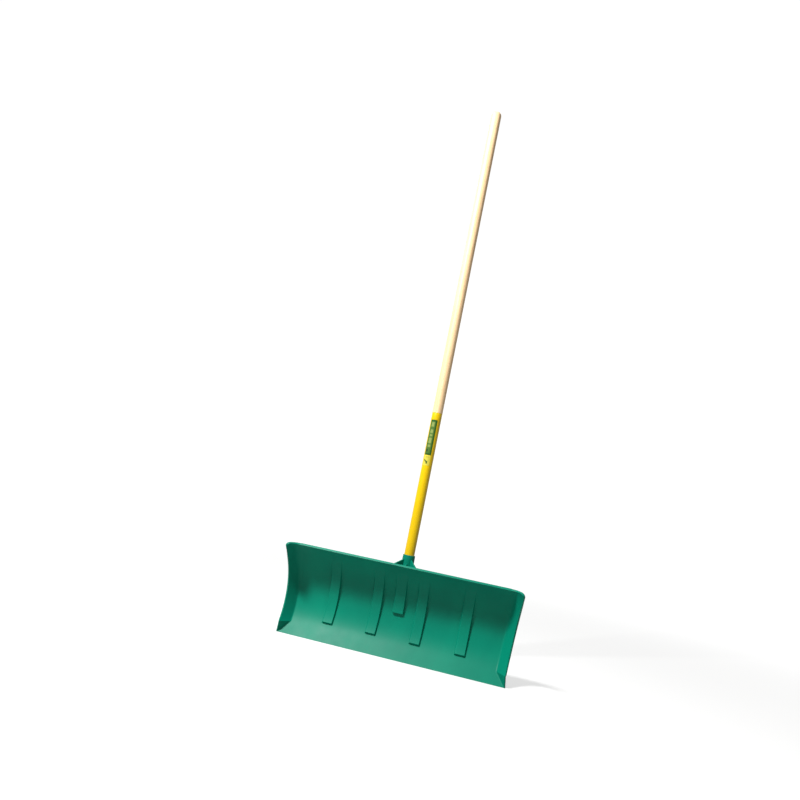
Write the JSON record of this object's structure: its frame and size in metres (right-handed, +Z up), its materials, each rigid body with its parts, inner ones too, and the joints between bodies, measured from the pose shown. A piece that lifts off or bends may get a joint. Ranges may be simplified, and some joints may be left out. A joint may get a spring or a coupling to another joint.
{
  "type": "snow pusher",
  "caption": "Wide curved moulded blade with flared ends and stiffening ribs, on a straight round wooden handle with a coloured lower sleeve, for pushing snow.",
  "frame": {"origin": "centre of the bounding box in X and Y, level with the cutting edge at the bottom", "axes": "+Z up the handle, -Y the side that pushes the snow, +X to the right as seen from that side"},
  "size_m": [0.6318, 0.1172, 1.526],
  "materials": {
    "blade_plastic": "injection-moulded polypropylene, even bluish green, satin",
    "handle_wood": "pale beech, sanded and clear sealed, straight fine grain along the handle",
    "sleeve_coating": "smooth glossy yellow coating",
    "label_panel_film": "dark green printed film",
    "label_badge_film": "pale yellow-green printed film",
    "screw_steel": "zinc-plated steel, satin"
  },
  "bodies": {
    "root": {"blade": "blade_plastic", "handle": "handle_wood", "sleeve": "sleeve_coating", "label_panel": "label_panel_film", "label_badge": "label_badge_film", "fixing_screw": "screw_steel"}
  },
  "joints": []
}
